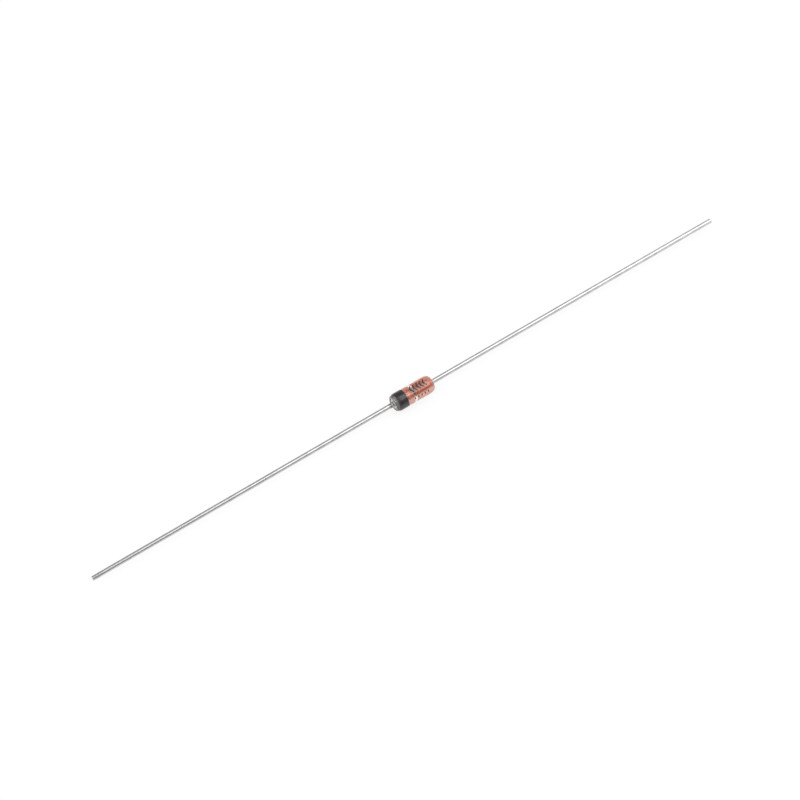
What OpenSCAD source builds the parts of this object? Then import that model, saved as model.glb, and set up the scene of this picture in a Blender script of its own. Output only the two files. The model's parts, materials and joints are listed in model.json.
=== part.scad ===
// Axial glass zener diode, in millimetres.
// A glass sleeve is sealed over two round metal slugs that clamp a silicon die between them.
// A straight tinned wire is welded to the outer face of each slug, and an ink band marks the cathode.
// +X runs along the axis from cathode to anode, and the origin is the middle of the glass sleeve.

/* [Glass sleeve] */
// Outside diameter of the sleeve
glass_dia = 1.75; // [1.52:0.01:2.29]
// Length of the sleeve, from the crest of one lip to the crest of the other
glass_len = 4.3; // [3.05:0.05:5.1]
// Length over which the outside rounds off at the cathode end, which stayed blunt
cathode_round = 0.3; // [0.1:0.01:0.3]
// Length over which the outside rounds off at the anode end, which slumped to a dome
anode_round = 0.6; // [0.1:0.01:0.9]
// Width of the lip's inner slope, from the slug's side out to the crest
lip_slope = 0.08; // [0.02:0.01:0.2]
// Depth of the seal line, where the glass meets the slug's side, below the crest
seal_depth = 0.1; // [0.03:0.01:0.25]

/* [Slugs] */
// Diameter of a slug, which is also the bore of the sleeve that is fused to it
slug_dia = 0.98; // [0.8:0.01:1.1]
// Depth of a slug's outer face below the crest of the glass lip
slug_recess = 0.03; // [0:0.01:0.08]
// Radius of the worn edge round both ends of a slug
slug_edge = 0.03; // [0.01:0.005:0.08]

/* [Die] */
// Side of the square silicon die
die_side = 0.42; // [0.25:0.01:0.48]
// Thickness of the die
die_thick = 0.15; // [0.08:0.01:0.3]
// Diameter of the silver bump where it grows from the die
bump_dia = 0.26; // [0.2:0.01:0.4]
// Diameter of the flat on the bump that is pressed against the anode slug
bump_flat_dia = 0.16; // [0.08:0.01:0.2]
// Height of the bump above the die
bump_height = 0.05; // [0.02:0.005:0.1]

/* [Leads] */
// Diameter of the wire
lead_dia = 0.47; // [0.4:0.01:0.54]
// Length of a lead, from the crest of the glass lip to its cut tip
lead_len = 33; // [5:0.5:38]
// Radius of the edge round the cut tip
tip_edge = 0.03; // [0.01:0.01:0.15]
// Diameter of the weld bead at the foot of a lead
bead_dia = 0.6; // [0.55:0.01:0.7]
// Length of the weld bead, from the slug's face to the bare wire
bead_len = 0.26; // [0.1:0.01:0.5]

/* [Cathode band] */
// Distance from the crest of the cathode lip to the band
band_offset = 0.29; // [0.1:0.01:1]
// Width of the band along the axis
band_width = 0.98; // [0.3:0.01:1.5]
// Thickness of the ink over the glass
band_thick = 0.02; // [0.01:0.005:0.05]
// Width over which the ink thins out at each edge of the band
band_feather = 0.06; // [0.01:0.01:0.1]

/* [Hidden] */
$fn = 96;
// Straight steps that stand for each quarter turn of a profile
quarter_steps = 16;

glass_r = glass_dia / 2;
glass_end = glass_len / 2;
slug_r = slug_dia / 2;
crest_r = slug_r + lip_slope;
wall = glass_r - crest_r;
lead_r = lead_dia / 2;
bead_r = bead_dia / 2;
bump_r = bump_dia / 2;
bump_flat_r = bump_flat_dia / 2;

// The die and its bump set how far apart the slugs stand, and that gap is centred in the sleeve
slug_gap = die_thick + bump_height;
slug_inner = slug_gap / 2;
slug_outer = glass_end - slug_recess;
slug_len = slug_outer - slug_inner;
die_top = die_thick - slug_inner;
lead_solid_len = lead_len + slug_recess;

// A quarter turn of an ellipse in the profile plane, where X is the radius and Y runs along the axis
function quarter(centre, wide, tall, from, to) =
    [for (i = [0 : quarter_steps])
        let (a = from + (to - from) * i / quarter_steps)
        centre + [wide * cos(a), tall * sin(a)]];

// The cathode shoulder of the glass, from the crest of the lip out to the straight side
shoulder = quarter([crest_r, cathode_round - glass_end], wall, cathode_round, 270, 360);

// Radius of the glass on the cathode half, read off the straight steps of the shoulder
function glass_radius(place) = lookup(place, [for (p = shoulder) [p.y, p.x]]);

// Outline of the glass on the cathode half, between two places along the axis
function glass_line(start, end) = concat(
    [[glass_radius(start), start]],
    [for (p = shoulder) if (p.y > start && p.y < end) p],
    [[glass_radius(end), end]]);

// Spins a profile round the diode's axis, with the profile's Y along +X
module turned(profile) {
    rotate([0, 90, 0])
        rotate_extrude()
            polygon(profile);
}

// Puts the anode side's children on the cathode side too, turned end for end
module cathode_side() {
    rotate([0, 0, 180])
        children();
}

// Sleeve wall: the bore is fused to the slugs, and each end is a lip that slopes in to the seal line
module glass_sleeve() {
    color("lightcyan", 0.4)
        turned(concat(
            quarter([crest_r, seal_depth - glass_end], lip_slope, seal_depth, 180, 270),
            shoulder,
            quarter([crest_r, glass_end - anode_round], wall, anode_round, 0, 90),
            quarter([crest_r, glass_end - seal_depth], lip_slope, seal_depth, 90, 180)));
}

// One slug on the anode side: a cropped length of round wire with its cut edges worn round
module slug() {
    core_r = slug_r - slug_edge;
    color("chocolate")
        translate([slug_inner, 0, 0])
            turned(concat(
                [[0, 0]],
                quarter([core_r, slug_edge], slug_edge, slug_edge, 270, 360),
                quarter([core_r, slug_len - slug_edge], slug_edge, slug_edge, 0, 90),
                [[0, slug_len]]));
}

module cathode_slug() {
    cathode_side() slug();
}

module anode_slug() {
    slug();
}

// The chip sits flat on the inner face of the cathode slug
module zener_die() {
    color("slategray")
        translate([-slug_inner, -die_side / 2, -die_side / 2])
            cube([die_thick, die_side, die_side]);
}

// The bump stands on the die, and its flat touches the inner face of the anode slug
module contact_bump() {
    color("gainsboro")
        translate([die_top, 0, 0])
            turned(concat(
                [[0, 0]],
                quarter([bump_flat_r, 0], bump_r - bump_flat_r, bump_height, 0, 90),
                [[0, bump_height]]));
}

// One lead on the anode side: a weld bead on the slug's face, then bare wire to a cut tip
module lead() {
    tip_r = lead_r - tip_edge;
    color("silver")
        translate([slug_outer, 0, 0])
            turned(concat(
                [[0, 0]],
                quarter([lead_r, 0], bead_r - lead_r, bead_len, 0, 90),
                quarter([tip_r, lead_solid_len - tip_edge], tip_edge, tip_edge, 0, 90),
                [[0, lead_solid_len]]));
}

module cathode_lead() {
    cathode_side() lead();
}

module anode_lead() {
    lead();
}

// A ring of ink rolled onto the glass from its shoulder inwards, and thinner at both edges
module cathode_band() {
    start = band_offset - glass_end;
    end = start + band_width;
    over = glass_line(start + band_feather, end - band_feather);
    color([0.14, 0.12, 0.13])
        turned(concat(
            glass_line(start, end),
            [for (i = [len(over) - 1 : -1 : 0]) over[i] + [band_thick, 0]]));
}

glass_sleeve();
cathode_slug();
anode_slug();
zener_die();
contact_bump();
cathode_lead();
anode_lead();
cathode_band();
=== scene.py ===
import json

import bpy
import numpy as np
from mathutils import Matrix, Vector


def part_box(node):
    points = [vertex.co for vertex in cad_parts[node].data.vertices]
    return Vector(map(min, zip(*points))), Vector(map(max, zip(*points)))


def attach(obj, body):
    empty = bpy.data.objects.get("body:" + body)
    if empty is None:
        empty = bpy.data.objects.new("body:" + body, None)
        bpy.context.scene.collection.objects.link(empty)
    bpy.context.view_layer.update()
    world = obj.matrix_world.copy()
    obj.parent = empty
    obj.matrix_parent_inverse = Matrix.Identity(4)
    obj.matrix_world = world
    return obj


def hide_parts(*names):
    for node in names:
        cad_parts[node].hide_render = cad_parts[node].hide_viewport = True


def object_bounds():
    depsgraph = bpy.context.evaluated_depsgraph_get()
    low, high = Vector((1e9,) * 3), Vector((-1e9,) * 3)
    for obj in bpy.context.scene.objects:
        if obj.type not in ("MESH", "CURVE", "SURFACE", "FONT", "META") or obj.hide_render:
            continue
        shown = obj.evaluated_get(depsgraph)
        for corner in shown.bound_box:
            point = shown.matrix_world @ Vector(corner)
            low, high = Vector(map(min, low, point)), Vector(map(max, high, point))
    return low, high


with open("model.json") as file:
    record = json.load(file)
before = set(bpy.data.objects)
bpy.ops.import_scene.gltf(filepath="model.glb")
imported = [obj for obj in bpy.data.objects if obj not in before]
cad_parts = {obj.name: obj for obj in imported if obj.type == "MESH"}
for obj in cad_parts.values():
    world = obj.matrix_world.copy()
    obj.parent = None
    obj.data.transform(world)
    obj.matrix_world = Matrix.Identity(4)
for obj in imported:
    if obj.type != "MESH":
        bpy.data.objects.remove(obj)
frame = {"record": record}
cad_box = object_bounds()


# The two leads
# Straight copper-clad steel wire, drawn and tinned, and butt-welded to the outer face of each slug.
# The weld leaves a small bead round the foot, and the far tip is sheared off with a slightly worn edge.

MM = 0.001
CREASE_ANGLE = 35
LEAD_SIDES = 72
LEAD_ROWS = 320
WIRE_RADIUS = frame["record"]["mounts"][0]["dims"]["r_mm"] * MM
BEAD_LENGTH = 0.26 * MM
TIP_EDGE = 0.03 * MM
TIP_EDGE_STEPS = 6
TIP_FACE_DEPTH = 0.0005 * MM
TIN_WAVE = 0.0025 * MM
TIN_WAVE_LENGTHS = (0.61 * MM, 2.3 * MM, 1.37 * MM)
TIN_THIRD_WAVE = 0.6
# Painted shade: a dull grey ring round the cathode foot, just past the bead
ROOT_SHADE_RING = {"past_bead": 0.08 * MM, "core": 0.07 * MM, "fade": 0.27 * MM}
STEEL_CORE = 0.188 * MM
CLAD_BLUR = 0.004 * MM


def round_radius(node):
    """Half the height of a round CAD node, whose mesh has corners straight above and below the axis."""
    low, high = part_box(node)
    return (high.z - low.z) / 2


def quarter(centre_along, centre_radius, tall, wide, start, end, steps=12):
    """Part of an ellipse in the profile plane: the centre plus (tall sin a, wide cos a), with a running
    from start to end in degrees."""
    a = np.radians(np.linspace(start, end, steps + 1))
    return np.stack([centre_along + tall * np.sin(a), centre_radius + wide * np.cos(a)])


def on_axis(along):
    """A profile point on the axis."""
    return np.array([[along], [0.0]])


def full_turn(sides):
    """The angles of that many even steps round a full turn."""
    return 2 * np.pi * np.arange(sides) / sides


def shell(points, ring, first=0):
    """Vertices and faces of a closed surface, from a grid of points whose rows run once round it.
    A ring's last row joins its first. Any other grid starts and ends in one point, and a fan of
    triangles closes it there. first is the number of its first vertex in the mesh."""
    sides = points.shape[1]
    rows = points if ring else points[1:-1]
    index = first + np.arange(rows.shape[0] * sides).reshape(-1, sides)
    beside = np.roll(index, -1, axis=1)
    ahead, ahead_beside = (np.roll(v, -1, axis=0) for v in (index, beside))
    quads = np.stack([index, beside, ahead_beside, ahead], axis=-1)
    vertices = rows.reshape(-1, 3)
    if ring:
        return vertices, quads.reshape(-1, 4).tolist()
    start, end = (np.full(sides, first + len(vertices) + pole) for pole in (0, 1))
    faces = quads[:-1].reshape(-1, 4).tolist()
    faces += np.stack([start, beside[0], index[0]], axis=-1).tolist()
    faces += np.stack([end, index[-1], beside[-1]], axis=-1).tolist()
    return np.concatenate([vertices, points[[0, -1], 0]]), faces


def new_piece(name, vertices, faces):
    """A smooth-shaded mesh object at the origin, with creases over CREASE_ANGLE degrees kept sharp."""
    mesh = bpy.data.meshes.new(name)
    mesh.from_pydata(vertices.tolist(), [], faces)
    mesh.polygons.foreach_set("use_smooth", np.ones(len(faces), bool))
    mesh.set_sharp_from_angle(angle=np.radians(CREASE_ANGLE))
    piece = bpy.data.objects.new(name, mesh)
    bpy.context.scene.collection.objects.link(piece)
    return piece


def spin(name, along, radius, sides, ring=False):
    """A turned solid: each profile point becomes the circle (along, radius cos a, radius sin a) about the
    X axis. along and radius may also vary with the angle a, in one column for each side."""
    a = full_turn(sides)
    along, radius = (np.broadcast_to(v.reshape(len(v), -1), (len(v), sides)) for v in (along, radius))
    points = np.stack([along, radius * np.cos(a), radius * np.sin(a)], axis=-1)
    return new_piece(name, *shell(points, ring))


def linear(hex_colour):
    """sRGB hex to linear: c / 12.92 up to 0.04045, and ((c + 0.055) / 1.055) to the power 2.4 above it."""
    c = np.array([int(hex_colour[i:i + 2], 16) / 255 for i in (1, 3, 5)])
    c = np.where(c <= 0.04045, c / 12.92, ((c + 0.055) / 1.055) ** 2.4)
    return (*c.tolist(), 1.0)


def add_node(tree, kind, inputs=(), **settings):
    """Adds one node, sets its own settings, and gives each named input a value or a link."""
    node = tree.nodes.new(kind)
    for key, value in settings.items():
        setattr(node, key, value)
    for key, value in dict(inputs).items():
        if isinstance(value, bpy.types.NodeSocket):
            tree.links.new(value, node.inputs[key])
        else:
            node.inputs[key].default_value = value
    return node


# Where a Mix node of colours has its two colours among its inputs, and the mixed one among its outputs
MIX_A = 6
MIX_B = 7
MIXED = 2


def new_material(name):
    """An empty node material, with its tree and its surface socket."""
    material = bpy.data.materials.new(name)
    material.use_nodes = True
    material.node_tree.nodes.clear()
    output = add_node(material.node_tree, "ShaderNodeOutputMaterial")
    return material, material.node_tree, output.inputs["Surface"]


def per_mm(size_mm):
    """A noise scale, in cycles per metre, for patches of that size in millimetres."""
    return 1 / (size_mm * MM)


# Tinned drawn wire: a bright soft white metal, with faint lengthwise drawing lines and duller smears in the
# tin. A dull grey ring round the foot of the cathode lead, where the bead ends, is painted shade.
tinned, tree, surface = new_material("tinned_drawn_wire")
place = add_node(tree, "ShaderNodeTexCoord").outputs["Object"]
lengthwise = add_node(tree, "ShaderNodeMapping", {"Vector": place, "Scale": (0.02, 1, 1)}).outputs[0]
drawing = add_node(tree, "ShaderNodeTexNoise", {"Vector": lengthwise, "Scale": per_mm(0.05), "Detail": 3.0})
smear = add_node(tree, "ShaderNodeTexNoise", {"Vector": place, "Scale": per_mm(0.9), "Detail": 3.0})
dull = add_node(tree, "ShaderNodeMapRange", {
    "Value": smear.outputs["Fac"], "From Min": 0.35, "From Max": 0.7})
coat = add_node(tree, "ShaderNodeMix", {
    "Factor": dull.outputs[0], MIX_A: linear("#D3D2D2"), MIX_B: linear("#C1C0C0")}, data_type="RGBA")
ring_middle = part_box("cathode_lead")[1].x - BEAD_LENGTH - ROOT_SHADE_RING["past_bead"]
along = add_node(tree, "ShaderNodeSeparateXYZ", {0: place}).outputs["X"]
beside = add_node(tree, "ShaderNodeMath", {0: along, 1: ring_middle}, operation="SUBTRACT").outputs[0]
beside = add_node(tree, "ShaderNodeMath", {0: beside}, operation="ABSOLUTE").outputs[0]
# Painted shade round the foot of the cathode lead
root_shade = add_node(tree, "ShaderNodeMapRange", {
    "Value": beside, "From Min": ROOT_SHADE_RING["fade"], "From Max": ROOT_SHADE_RING["core"]})
tinted = add_node(tree, "ShaderNodeMix", {
    "Factor": root_shade.outputs[0], MIX_A: coat.outputs[MIXED], MIX_B: linear("#8C8886")}, data_type="RGBA")
shine = add_node(tree, "ShaderNodeMapRange", {
    "Value": smear.outputs["Fac"], "To Min": 0.2, "To Max": 0.32})
scratch = add_node(tree, "ShaderNodeBump", {
    "Height": drawing.outputs["Fac"], "Strength": 0.2, "Distance": 0.004 * MM})
wire = add_node(tree, "ShaderNodeBsdfPrincipled", {
    "Base Color": tinted.outputs[MIXED], "Metallic": 1.0, "Roughness": shine.outputs[0],
    "Normal": scratch.outputs[0]})
tree.links.new(wire.outputs[0], surface)

# Sheared copper-clad steel: the bright core and the thin ring of copper round it, with fine lines from the
# cutter.
sheared, tree, surface = new_material("sheared_copper_clad_steel")
place = add_node(tree, "ShaderNodeTexCoord").outputs["Object"]
section = add_node(tree, "ShaderNodeMapping", {"Vector": place, "Scale": (0, 1, 1)}).outputs[0]
radius = add_node(tree, "ShaderNodeVectorMath", {0: section}, operation="LENGTH").outputs["Value"]
ring = add_node(tree, "ShaderNodeMapRange", {
    "Value": radius, "From Min": STEEL_CORE - CLAD_BLUR, "From Max": STEEL_CORE + CLAD_BLUR})
clad = add_node(tree, "ShaderNodeMix", {
    "Factor": ring.outputs[0], MIX_A: linear("#E6E4E1"), MIX_B: linear("#DDB7A2")}, data_type="RGBA")
smeared = add_node(tree, "ShaderNodeMapping", {"Vector": place, "Scale": (1, 0.1, 1)}).outputs[0]
cutter = add_node(tree, "ShaderNodeTexNoise", {"Vector": smeared, "Scale": per_mm(0.025), "Detail": 2.0})
torn = add_node(tree, "ShaderNodeBump", {
    "Height": cutter.outputs["Fac"], "Strength": 0.4, "Distance": 0.006 * MM})
dull = add_node(tree, "ShaderNodeMapRange", {
    "Value": cutter.outputs["Fac"], "To Min": 0.3, "To Max": 0.5})
core = add_node(tree, "ShaderNodeBsdfPrincipled", {
    "Base Color": clad.outputs[MIXED], "Metallic": 1.0, "Roughness": dull.outputs[0],
    "Normal": torn.outputs[0]})
tree.links.new(core.outputs[0], surface)


def paint_beyond(piece, origin, side, reach):
    """Gives the second material to the faces whose middle lies further than reach from origin, towards
    side."""
    centres = np.empty(3 * len(piece.data.polygons))
    piece.data.polygons.foreach_get("center", centres)
    beyond = side * (centres[::3] - origin) > reach
    piece.data.polygons.foreach_set("material_index", beyond.astype(np.int32))


for node, side in (("cathode_lead", -1), ("anode_lead", 1)):
    low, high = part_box(node)
    foot = low.x if side > 0 else high.x
    length = high.x - low.x
    rows = np.linspace(BEAD_LENGTH, length - TIP_EDGE, LEAD_ROWS)[1:-1]
    # The tin dips where the product of two sines along the wire, plus a share of a third, is below zero
    short, long, third = (np.sin(rows / wave) for wave in TIN_WAVE_LENGTHS)
    profile = np.concatenate([
        on_axis(0),
        quarter(0, WIRE_RADIUS, BEAD_LENGTH, round_radius(node) - WIRE_RADIUS, 0, 90),
        np.stack([rows, WIRE_RADIUS + TIN_WAVE * np.minimum(short * long + TIN_THIRD_WAVE * third, 0)]),
        quarter(length - TIP_EDGE, WIRE_RADIUS - TIP_EDGE, TIP_EDGE, TIP_EDGE, 0, 90, TIP_EDGE_STEPS),
        on_axis(length)], axis=1)[:, ::side]
    lead = spin(node + "_tinned", foot + side * profile[0], profile[1], LEAD_SIDES)
    lead.data.materials.append(tinned)
    lead.data.materials.append(sheared)
    paint_beyond(lead, foot, side, length - TIP_FACE_DEPTH)
    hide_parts(node)
    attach(lead, "root")


# The two slugs
# Short lengths of round nickel-iron wire clad in copper, borated and fired until the copper turns
# orange-red. The glass is melted onto their sides, and the ends that it leaves bare were tinned with the
# leads.

SLUG_SIDES = 160
SLUG_EDGE = 0.03 * MM
SEAL_DEPTH = 0.1 * MM
OXIDE_FROM_LIP = (0.45 * MM, 0.61 * MM)
STREAK_RAGGED = 0.16
# Painted shade: two deep red streaks along the front and top; painted reflection: a pale streak below them
PAINTED_SHADE_AND_REFLECTION = ({"angle": 142, "half_width": 22, "strength": 0.75, "tone": "#D24C2E"},
           {"angle": 88, "half_width": 26, "strength": 0.4, "tone": "#D24C2E"},
           {"angle": 182, "half_width": 36, "strength": 0.8, "tone": "#FFD0BE"})
# Painted highlight along the top of the bare nickel-iron
TOP_HIGHLIGHT_STREAK = {"angle": 82, "half_width": 42, "strength": 1.0, "tone": "#F4F2F0"}

slug_radius = round_radius("anode_slug")
cathode_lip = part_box("glass_sleeve")[0].x


def streak_cover(tree, place, mottle, streak):
    """How far a lengthwise streak covers the slug: the cosine of the angle from its middle, made ragged by
    the mottling, and brought from nothing at half_width to its strength at the middle."""
    a = np.radians(streak["angle"])
    middle = (0, np.cos(a) / slug_radius, np.sin(a) / slug_radius)
    facing = add_node(tree, "ShaderNodeVectorMath", {0: place, 1: middle}, operation="DOT_PRODUCT")
    ragged = add_node(tree, "ShaderNodeMath", {
        0: mottle, 1: -STREAK_RAGGED, 2: facing.outputs["Value"]}, operation="MULTIPLY_ADD")
    edge = np.cos(np.radians(streak["half_width"])) - STREAK_RAGGED / 2
    cover = add_node(tree, "ShaderNodeMapRange", {
        "Value": ragged.outputs[0], "From Min": edge, "From Max": 1 - STREAK_RAGGED / 2,
        "To Max": streak["strength"]})
    return cover.outputs[0]


# Borated copper oxide: a satin orange-red skin over bright copper, mottled pale and dark where it fired
# thinner and thicker, with fine drawing lines. Two deeper red streaks along its front and top are painted
# shade, and a paler one below them is a painted reflection of the white sheet. Towards the lip of the
# cathode end it stops, and the stained grey of the nickel-iron shows, with a painted highlight along its
# top.
oxide, tree, surface = new_material("borated_copper_oxide")
place = add_node(tree, "ShaderNodeTexCoord").outputs["Object"]
stretched = add_node(tree, "ShaderNodeMapping", {"Vector": place, "Scale": (0.7, 1, 1)}).outputs[0]
mottle = add_node(tree, "ShaderNodeTexNoise", {
    "Vector": stretched, "Scale": per_mm(0.22), "Detail": 4.0, "Roughness": 0.6}).outputs["Fac"]
patch = add_node(tree, "ShaderNodeMapRange", {"Value": mottle, "From Min": 0.36, "From Max": 0.64})
fired = add_node(tree, "ShaderNodeMix", {
    "Factor": patch.outputs[0], MIX_A: linear("#F08E70"), MIX_B: linear("#F3B099")}, data_type="RGBA")
lengthwise = add_node(tree, "ShaderNodeMapping", {"Vector": place, "Scale": (0.04, 1, 1)}).outputs[0]
drawing = add_node(tree, "ShaderNodeTexNoise", {"Vector": lengthwise, "Scale": per_mm(0.03), "Detail": 2.0})
line = add_node(tree, "ShaderNodeMapRange", {
    "Value": drawing.outputs["Fac"], "From Min": 0.45, "From Max": 0.7, "To Max": 0.24})
skin_tone = add_node(tree, "ShaderNodeMix", {
    "Factor": line.outputs[0], MIX_A: fired.outputs[MIXED], MIX_B: linear("#D86A4C")}, data_type="RGBA")
# Lays the painted shade and painted reflection streaks over the oxide
for streak in PAINTED_SHADE_AND_REFLECTION:
    skin_tone = add_node(tree, "ShaderNodeMix", {
        "Factor": streak_cover(tree, place, mottle, streak), MIX_A: skin_tone.outputs[MIXED],
        MIX_B: linear(streak["tone"])}, data_type="RGBA")
stain_and_highlight = add_node(tree, "ShaderNodeMix", {
    "Factor": patch.outputs[0], MIX_A: linear("#9C9896"), MIX_B: linear("#CFCDCB")}, data_type="RGBA")
# Painted highlight along the top of the bare metal
stain_and_highlight = add_node(tree, "ShaderNodeMix", {
    "Factor": streak_cover(tree, place, mottle, TOP_HIGHLIGHT_STREAK), MIX_A: stain_and_highlight.outputs[MIXED],
    MIX_B: linear(TOP_HIGHLIGHT_STREAK["tone"])}, data_type="RGBA")
along = add_node(tree, "ShaderNodeSeparateXYZ", {0: place}).outputs["X"]
bared = add_node(tree, "ShaderNodeMapRange", {
    "Value": along, "From Min": cathode_lip + OXIDE_FROM_LIP[1],
    "From Max": cathode_lip + OXIDE_FROM_LIP[0]})
tone = add_node(tree, "ShaderNodeMix", {
    "Factor": bared.outputs[0], MIX_A: skin_tone.outputs[MIXED], MIX_B: stain_and_highlight.outputs[MIXED]},
    data_type="RGBA")
satin = add_node(tree, "ShaderNodeMapRange", {"Value": mottle, "To Min": 0.5, "To Max": 0.35})
grain = add_node(tree, "ShaderNodeTexNoise", {"Vector": place, "Scale": per_mm(0.03), "Detail": 2.0})
tooth = add_node(tree, "ShaderNodeBump", {
    "Height": grain.outputs["Fac"], "Strength": 0.12, "Distance": 0.004 * MM})
skin = add_node(tree, "ShaderNodeBsdfPrincipled", {
    "Base Color": tone.outputs[MIXED], "Metallic": 0.6, "Roughness": satin.outputs[0],
    "Normal": tooth.outputs[0]})
tree.links.new(skin.outputs[0], surface)

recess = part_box("glass_sleeve")[1].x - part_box("anode_slug")[1].x
for node, side in (("cathode_slug", -1), ("anode_slug", 1)):
    low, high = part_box(node)
    inner = low.x if side > 0 else high.x
    length = high.x - low.x
    core = slug_radius - SLUG_EDGE
    seal_line = length - (SEAL_DEPTH - recess)
    profile = np.concatenate([
        on_axis(0),
        quarter(SLUG_EDGE, core, SLUG_EDGE, SLUG_EDGE, -90, 0),
        np.array([[seal_line], [slug_radius]]),
        quarter(length - SLUG_EDGE, core, SLUG_EDGE, SLUG_EDGE, 0, 90),
        on_axis(length)], axis=1)[:, ::side]
    slug = spin(node + "_oxidised", inner + side * profile[0], profile[1], SLUG_SIDES)
    slug.data.materials.append(oxide)
    slug.data.materials.append(tinned)
    paint_beyond(slug, inner, side, seal_line)
    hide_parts(node)
    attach(slug, "root")


# The silicon die
# A square chip sawn from a polished wafer and bonded flat on the inner face of the cathode slug.
# Its top is the mirror-dark wafer face, and its sides keep the fine marks of the dicing saw.

DIE_SIDES = 128
DIE_CORNER = 16
DIE_EDGE = 0.006 * MM

# Each section is nearly a square: it lies reach / (|cos a|^n + |sin a|^n)^(1/n) from the axis, and n is
# DIE_CORNER
low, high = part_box("zener_die")
die_half = (high.z - low.z) / 2
a = full_turn(DIE_SIDES)
square = (np.abs(np.cos(a)) ** DIE_CORNER + np.abs(np.sin(a)) ** DIE_CORNER) ** (-1 / DIE_CORNER)
along = np.array([low.x, low.x, low.x + DIE_EDGE, high.x - DIE_EDGE, high.x, high.x])
reach = np.array([0, die_half - DIE_EDGE, die_half, die_half, die_half - DIE_EDGE, 0])
die = spin("silicon_die", along, np.outer(reach, square), DIE_SIDES)

# Diced silicon: dark blue-grey and nearly metallic, with saw lines a few microns apart that are drawn
# coarser so that they show.
silicon, tree, surface = new_material("diced_silicon")
place = add_node(tree, "ShaderNodeTexCoord").outputs["Object"]
sawn = add_node(tree, "ShaderNodeMapping", {"Vector": place, "Scale": (1, 0.1, 0.1)}).outputs[0]
saw = add_node(tree, "ShaderNodeTexNoise", {"Vector": sawn, "Scale": per_mm(0.012), "Detail": 2.0})
shade = add_node(tree, "ShaderNodeMix", {
    "Factor": saw.outputs["Fac"], MIX_A: linear("#4B4F58"), MIX_B: linear("#7B808A")}, data_type="RGBA")
dull = add_node(tree, "ShaderNodeMapRange", {"Value": saw.outputs["Fac"], "To Min": 0.2, "To Max": 0.45})
cut = add_node(tree, "ShaderNodeBump", {
    "Height": saw.outputs["Fac"], "Strength": 0.3, "Distance": 0.003 * MM})
chip = add_node(tree, "ShaderNodeBsdfPrincipled", {
    "Base Color": shade.outputs[MIXED], "Metallic": 0.85, "Roughness": dull.outputs[0],
    "Normal": cut.outputs[0]})
tree.links.new(chip.outputs[0], surface)
die.data.materials.append(silicon)
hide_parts("zener_die")
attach(die, "root")


# The contact bump
# A silver button plated up from the middle of the die, flattened where the anode slug was pressed onto it.
# The sealing heat leaves it matt and slightly yellowed.

BUMP_SIDES = 96
BUMP_FLAT_RADIUS = 0.08 * MM

low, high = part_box("contact_bump")
flank = round_radius("contact_bump") - BUMP_FLAT_RADIUS
profile = np.concatenate([
    on_axis(low.x),
    quarter(low.x, BUMP_FLAT_RADIUS, high.x - low.x, flank, 0, 90),
    on_axis(high.x)], axis=1)
bump = spin("silver_bump", profile[0], profile[1], BUMP_SIDES)

# Plated silver: bright and pale, with a fine nodular grain that scatters its shine.
silver, tree, surface = new_material("plated_silver")
place = add_node(tree, "ShaderNodeTexCoord").outputs["Object"]
nodules = add_node(tree, "ShaderNodeTexNoise", {"Vector": place, "Scale": per_mm(0.015), "Detail": 3.0})
tarnish = add_node(tree, "ShaderNodeMix", {
    "Factor": nodules.outputs["Fac"], MIX_A: linear("#D9D4C6"), MIX_B: linear("#F1EFE8")}, data_type="RGBA")
grainy = add_node(tree, "ShaderNodeMapRange", {
    "Value": nodules.outputs["Fac"], "To Min": 0.3, "To Max": 0.5})
plated = add_node(tree, "ShaderNodeBsdfPrincipled", {
    "Base Color": tarnish.outputs[MIXED], "Metallic": 1.0, "Roughness": grainy.outputs[0]})
tree.links.new(plated.outputs[0], surface)
bump.data.materials.append(silver)
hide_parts("contact_bump")
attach(bump, "root")


# The glass sleeve
# A length of lead-glass tube, softened in the sealing jig until it wetted both slugs and its ends rounded
# off. The cathode end stayed blunt, the anode end slumped to a dome, and the bore is still open between the
# slugs.

GLASS_SIDES = 256
CATHODE_ROUND = 0.75 * MM
CATHODE_CURVE = (2.2, 3.5)
CATHODE_STEPS = 48
ANODE_ROUND = 0.6 * MM
ANODE_STEPS = 32
STRAIGHT_ROWS = 22
LIP_SLOPE = 0.08 * MM
SEAL_SINK = 0.004 * MM

low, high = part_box("glass_sleeve")
glass_radius = round_radius("glass_sleeve")
gap_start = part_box("cathode_slug")[1].x - SLUG_EDGE
gap_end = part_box("anode_slug")[0].x + SLUG_EDGE
crest = slug_radius + LIP_SLOPE
wall = glass_radius - crest
seal_radius = slug_radius - SEAL_SINK
slope = crest - seal_radius
straight = np.linspace(low.x + CATHODE_ROUND, high.x - ANODE_ROUND, STRAIGHT_ROWS + 2)[1:-1]


def blunt_shoulder(start):
    """A superellipse quarter from the crest to the straight side: 1 - cos^(2/p) a along and sin^(2/q) a
    outwards, with p and q from CATHODE_CURVE, so the end is blunt and the last of the rounding runs far
    along the side."""
    a = np.linspace(0, np.pi / 2, CATHODE_STEPS + 1)
    run, rise = (2 / power for power in CATHODE_CURVE)
    along = start + CATHODE_ROUND * (1 - np.abs(np.cos(a)) ** run)
    return np.stack([along, crest + wall * np.sin(a) ** rise])


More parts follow.
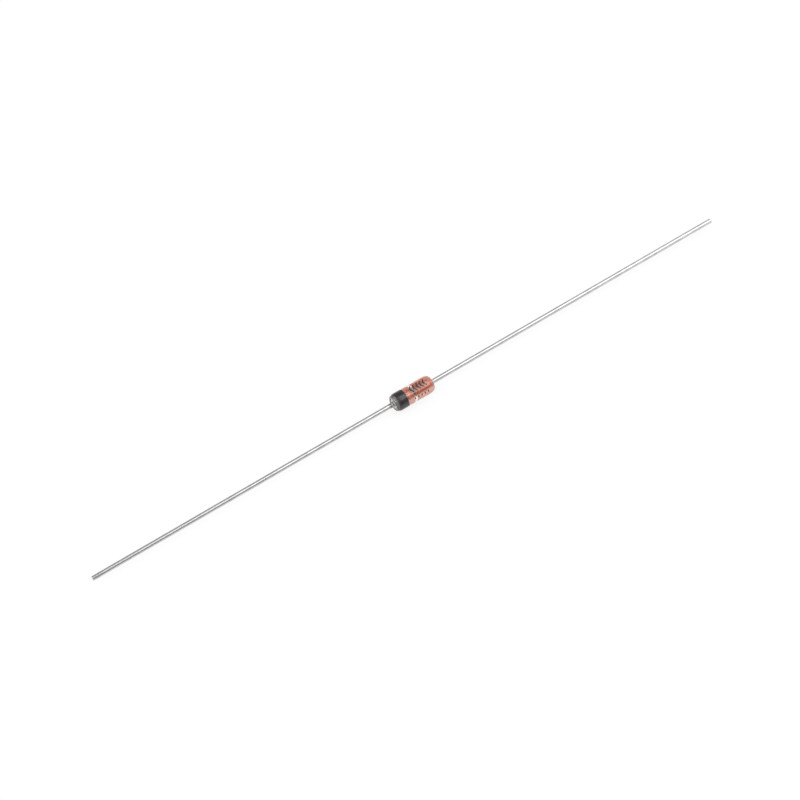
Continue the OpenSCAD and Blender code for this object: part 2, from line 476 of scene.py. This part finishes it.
outside = np.concatenate([
    blunt_shoulder(low.x),
    np.stack([straight, np.full_like(straight, glass_radius)]),
    quarter(high.x - ANODE_ROUND, crest, ANODE_ROUND, wall, 0, 90, ANODE_STEPS)], axis=1)
profile = np.concatenate([
    quarter(low.x + SEAL_DEPTH, crest, SEAL_DEPTH, -slope, 0, -90)[:, :-1],
    outside,
    quarter(high.x - SEAL_DEPTH, crest, SEAL_DEPTH, -slope, 90, 0)[:, 1:],
    np.array([[gap_end, gap_end, gap_start, gap_start],
              [seal_radius, slug_radius, slug_radius, seal_radius]])], axis=1)
sleeve = spin("sealed_glass_sleeve", profile[0], profile[1], GLASS_SIDES, ring=True)

# Fire-polished lead glass: water-white, and dense enough to magnify the slugs to nearly the full width.
glass, tree, surface = new_material("fire_polished_lead_glass")
melt = add_node(tree, "ShaderNodeBsdfPrincipled", {
    "Base Color": linear("#FDFEFC"), "Roughness": 0.0, "IOR": 1.7, "Transmission Weight": 1.0})
tree.links.new(melt.outputs[0], surface)
sleeve.data.materials.append(glass)
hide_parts("glass_sleeve")
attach(sleeve, "root")


# The cathode band
# A ring of black ink rolled onto the glass at the cathode end, over its shoulder, and stoved dry.
# It stands a little proud of the glass, and its two edges wander slightly where the ink crept.

BAND_SIDES = 256
BAND_ROWS = 40
BAND_THICK = 0.02 * MM
BAND_FEATHER = 0.06 * MM
INK_SINK = 0.003 * MM
EDGE_CREEP = 0.012 * MM
START_WAVES = ({"times": 3, "shift": 0.4, "height": 1.0},
               {"times": 7, "shift": 2.0, "height": 0.5},
               {"times": 17, "shift": 0.0, "height": 0.4})
END_WAVES = ({"times": 2, "shift": 1.9, "height": 1.0},
             {"times": 5, "shift": 0.0, "height": 0.6},
             {"times": 13, "shift": 1.0, "height": 0.4})
DRY_EDGE = (0.1 * MM, 0.38 * MM)


def creep(waves):
    """How far an edge of the band stays short of the full width: EDGE_CREEP times one plus a sum of sine
    waves round the glass, which is divided by the sum of their heights."""
    a = full_turn(BAND_SIDES)
    wander = sum(wave["height"] * np.sin(wave["times"] * a + wave["shift"]) for wave in waves)
    return EDGE_CREEP * (1 + wander / sum(wave["height"] for wave in waves))


# The rows of the ring crowd towards its edges, where the ink thins out on a quarter circle
low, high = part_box("cathode_band")
start = low.x + creep(START_WAVES)
end = high.x - creep(END_WAVES)
share = (1 - np.cos(np.pi * np.linspace(0, 1, BAND_ROWS)[:, None])) / 2
along = start + share * (end - start)
from_edge = np.clip(np.minimum(along - start, end - along) / BAND_FEATHER, 0, 1)
under = np.interp(along, outside[0], outside[1])
over = under + BAND_THICK * np.sqrt(1 - (1 - from_edge) ** 2)
band = spin("cathode_ink_band", np.concatenate([along, along[::-1]]),
            np.concatenate([over, under[::-1] - INK_SINK]), BAND_SIDES, ring=True)

# Stoved black ink: near black with a warm cast, smooth where it pooled and drier towards the shoulder of the
# glass.
ink, tree, surface = new_material("stoved_black_ink")
place = add_node(tree, "ShaderNodeTexCoord").outputs["Object"]
peel = add_node(tree, "ShaderNodeTexNoise", {"Vector": place, "Scale": per_mm(0.12), "Detail": 3.0})
cover = add_node(tree, "ShaderNodeTexNoise", {"Vector": place, "Scale": per_mm(0.5), "Detail": 2.0})
black = add_node(tree, "ShaderNodeMix", {
    "Factor": cover.outputs["Fac"], MIX_A: linear("#1B1014"), MIX_B: linear("#271B20")}, data_type="RGBA")
along = add_node(tree, "ShaderNodeSeparateXYZ", {0: place}).outputs["X"]
dry = add_node(tree, "ShaderNodeMapRange", {
    "Value": along, "From Min": low.x + DRY_EDGE[1], "From Max": low.x + DRY_EDGE[0],
    "To Min": 0.22, "To Max": 0.4})
satin = add_node(tree, "ShaderNodeMapRange", {
    "Value": cover.outputs["Fac"], "To Min": -0.08, "To Max": 0.08})
rough = add_node(tree, "ShaderNodeMath", {0: dry.outputs[0], 1: satin.outputs[0]}, operation="ADD")
skin = add_node(tree, "ShaderNodeBump", {
    "Height": peel.outputs["Fac"], "Strength": 0.3, "Distance": 0.008 * MM})
band_ink = add_node(tree, "ShaderNodeBsdfPrincipled", {
    "Base Color": black.outputs[MIXED], "Roughness": rough.outputs[0], "Normal": skin.outputs[0],
    "Specular IOR Level": 0.8, "Sheen Weight": 0.4, "Sheen Roughness": 0.2})
tree.links.new(band_ink.outputs[0], surface)
band.data.materials.append(ink)
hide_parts("cathode_band")
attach(band, "root")


# The printed marks
# Two rows of plain ink strokes, transferred to the glass by a soft pad: arcs that bow to the band, and
# dashes. The film is thin, so the orange below warms it where the pad left less ink.

STROKE_SIDES = 24
STROKE_ROWS = 32
STROKE_THICK = 0.006 * MM
STROKE_SQUARENESS = 0.4
ARCS = {"start": -0.22 * MM, "pitch": 0.36 * MM, "count": 5, "angle": 91,
        "half": (0.08 * MM, 0.4 * MM), "sweep": 0.2 * MM}
DASHES = {"start": -0.16 * MM, "pitch": 0.365 * MM, "count": 5, "angle": 158,
          "half": (0.055 * MM, 0.13 * MM), "sweep": 0}


def ink_stroke(centre, angle, half, sweep, first):
    """A flat oval section carried round the glass from tip to tip. Its width is full along the middle and
    closes on a half circle at each tip, its thickness goes with that width and with the sine round the
    section raised to STROKE_SQUARENESS, and its place along the axis moves by sweep times the square of
    the way out."""
    out = np.sin(np.linspace(-np.pi / 2, np.pi / 2, STROKE_ROWS))[:, None]
    b = full_turn(STROKE_SIDES)
    past = np.clip(1 + (np.abs(out) - 1) * half[1] / half[0], 0, 1)
    width = np.sqrt(1 - past ** 2)
    along = centre + half[0] * width * np.cos(b) + sweep * out ** 2
    thick = np.where(np.sin(b) > 0, STROKE_THICK, -INK_SINK)
    radius = glass_radius + thick * width * np.abs(np.sin(b)) ** STROKE_SQUARENESS
    a = np.radians(angle) + out * half[1] / glass_radius
    return shell(np.stack([along, radius * np.cos(a), radius * np.sin(a)], axis=-1), False, first)


vertices = np.empty((0, 3))
faces = []
for row in (ARCS, DASHES):
    for step in range(row["count"]):
        centre = row["start"] + step * row["pitch"]
        stroke, stroke_faces = ink_stroke(centre, row["angle"], row["half"], row["sweep"], len(vertices))
        vertices = np.concatenate([vertices, stroke])
        faces += stroke_faces
marks = new_piece("printed_marks", vertices, faces)

# Pad-printed ink: brown-black and thin, paler in specks where the glass took less of it.
pad_ink, tree, surface = new_material("pad_printed_ink")
place = add_node(tree, "ShaderNodeTexCoord").outputs["Object"]
cover = add_node(tree, "ShaderNodeTexNoise", {"Vector": place, "Scale": per_mm(0.11), "Detail": 3.0})
thin = add_node(tree, "ShaderNodeMapRange", {
    "Value": cover.outputs["Fac"], "From Min": 0.45, "From Max": 0.7})
film = add_node(tree, "ShaderNodeMix", {
    "Factor": thin.outputs[0], MIX_A: linear("#33272A"), MIX_B: linear("#543D37")}, data_type="RGBA")
satin = add_node(tree, "ShaderNodeMapRange", {
    "Value": cover.outputs["Fac"], "To Min": 0.3, "To Max": 0.5})
mark_ink = add_node(tree, "ShaderNodeBsdfPrincipled", {
    "Base Color": film.outputs[MIXED], "Roughness": satin.outputs[0]})
tree.links.new(mark_ink.outputs[0], surface)
marks.data.materials.append(pad_ink)
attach(marks, "root")


# The white sheet, the room and the light
# The diode lies on a plain white sheet under two broad soft lights, in a white room that is dark across its
# middle, and darker in front than behind. The sheet shows white to the eye, the metal and the glass, and
# still takes the soft shadow.

SHEET_HALF = 6.0
SHEET_GLOW = 0.84
ROOM_DARKEST = 0.13
ROOM_BRIGHT = 1.04
ROOM_FRONT = {"run": (0.14, 0.27), "dark": 0.13}
ROOM_BACK = {"run": (0.16, 0.4), "dark": 0.385}
ROOM_BLEND = 0.3
LIGHT_REACH = 0.8
MAIN_LIGHT = {"size": (0.49, 0.82), "rise": 80, "along": 0.385, "watts": 2.1}
SIDE_LIGHT = {"size": (0.36, 1.5), "rise": 100, "along": -0.6, "watts": 3.0}

corners = SHEET_HALF * np.array([[-1, -1, 0], [1, -1, 0], [1, 1, 0], [-1, 1, 0]])
corners[:, 2] = cad_box[0].z
mesh = bpy.data.meshes.new("white_sheet")
mesh.from_pydata(corners.tolist(), [], [[0, 1, 2, 3]])
sheet = bpy.data.objects.new("white_sheet", mesh)
bpy.context.scene.collection.objects.link(sheet)

# Matt white paper: flat and even, dark enough to take the shadow, and lifted to white for the camera and for
# what shines or lets light through.
paper, tree, surface = new_material("matt_white_paper")
ray = add_node(tree, "ShaderNodeLightPath")
seen = add_node(tree, "ShaderNodeMath", {
    0: ray.outputs["Is Camera Ray"], 1: ray.outputs["Is Glossy Ray"]}, operation="MAXIMUM")
seen = add_node(tree, "ShaderNodeMath", {
    0: seen.outputs[0], 1: ray.outputs["Is Transmission Ray"]}, operation="MAXIMUM")
lift = add_node(tree, "ShaderNodeMath", {0: seen.outputs[0], 1: SHEET_GLOW}, operation="MULTIPLY")
matt = add_node(tree, "ShaderNodeBsdfDiffuse", {"Color": linear("#6E6E6E")})
glow = add_node(tree, "ShaderNodeEmission", {"Color": linear("#FFFFFF"), "Strength": lift.outputs[0]})
both = add_node(tree, "ShaderNodeAddShader", {0: matt.outputs[0], 1: glow.outputs[0]})
tree.links.new(both.outputs[0], surface)
sheet.data.materials.append(paper)

# The room's level rises with the distance in X from its darkest direction, by its own run in front (-Y) and
# behind (+Y), and is plain white where the camera sees it
world = bpy.data.worlds.new("room")
bpy.context.scene.world = world
world.use_nodes = True
tree = world.node_tree
tree.nodes.clear()
ray = add_node(tree, "ShaderNodeLightPath")
way = add_node(tree, "ShaderNodeSeparateXYZ", {0: add_node(tree, "ShaderNodeTexCoord").outputs["Generated"]})
aside = add_node(tree, "ShaderNodeMath", {0: way.outputs["X"], 1: ROOM_DARKEST}, operation="SUBTRACT")
aside = add_node(tree, "ShaderNodeMath", {0: aside.outputs[0]}, operation="ABSOLUTE")
front_tone, back_tone = (
    add_node(tree, "ShaderNodeMapRange", {
        "Value": aside.outputs[0], "From Min": part["run"][0], "From Max": part["run"][1],
        "To Min": part["dark"], "To Max": ROOM_BRIGHT}, interpolation_type="SMOOTHSTEP")
    for part in (ROOM_FRONT, ROOM_BACK))
room_tone = add_node(tree, "ShaderNodeMapRange", {
    "Value": way.outputs["Y"], "From Min": -ROOM_BLEND, "From Max": ROOM_BLEND,
    "To Min": front_tone.outputs[0], "To Max": back_tone.outputs[0]})
level = add_node(tree, "ShaderNodeMapRange", {
    "Value": ray.outputs["Is Camera Ray"], "To Min": room_tone.outputs[0], "To Max": 1.0})
room = add_node(tree, "ShaderNodeBackground", {"Color": linear("#FFFFFF"), "Strength": level.outputs[0]})
add_node(tree, "ShaderNodeOutputWorld", {"Surface": room.outputs[0]})

for name, light in (("main_light", MAIN_LIGHT), ("side_light", SIDE_LIGHT)):
    lamp = bpy.data.lights.new(name, "AREA")
    lamp.shape = "RECTANGLE"
    lamp.size, lamp.size_y = light["size"]
    lamp.energy = light["watts"]
    soft_box = bpy.data.objects.new(name, lamp)
    bpy.context.scene.collection.objects.link(soft_box)
    rise = np.radians(light["rise"])
    soft_box.location = (light["along"], -LIGHT_REACH * np.cos(rise), LIGHT_REACH * np.sin(rise))
    soft_box.rotation_euler = (np.pi / 2 - rise, 0, 0)


# The camera
# It looks down on the diode from the cathode side, so the banded end is nearer and lower in the picture.
# The middle of the body falls on BODY_PIXEL.

PICTURE_SIDE = 800
SENSOR_WIDTH = 36
NEAREST_SEEN = 10 * MM
ELEVATION = 57.05
AZIMUTH = -34.62
DISTANCE = 306 * MM
FOCAL_PIXELS = 3269
BODY_PIXEL = (412.19, 393.33)

camera_data = bpy.data.cameras.new("camera")
camera_data.sensor_width = SENSOR_WIDTH
camera_data.lens = SENSOR_WIDTH * FOCAL_PIXELS / PICTURE_SIDE
camera_data.clip_start = NEAREST_SEEN
camera = bpy.data.objects.new("camera", camera_data)
bpy.context.scene.collection.objects.link(camera)
bpy.context.scene.camera = camera

tilt, turn = np.radians(ELEVATION), np.radians(AZIMUTH)
back = np.array([np.sin(turn) * np.cos(tilt), -np.cos(turn) * np.cos(tilt), np.sin(tilt)])
right = np.array([np.cos(turn), np.sin(turn), 0])
up = np.cross(back, right)
pixel = DISTANCE / FOCAL_PIXELS
middle = PICTURE_SIDE / 2
target = right * (middle - BODY_PIXEL[0]) * pixel + up * (BODY_PIXEL[1] - middle) * pixel
camera.location = target + back * DISTANCE
camera.rotation_euler = Vector(-back).to_track_quat("-Z", "Y").to_euler()

bpy.context.scene.view_settings.view_transform = "Standard"
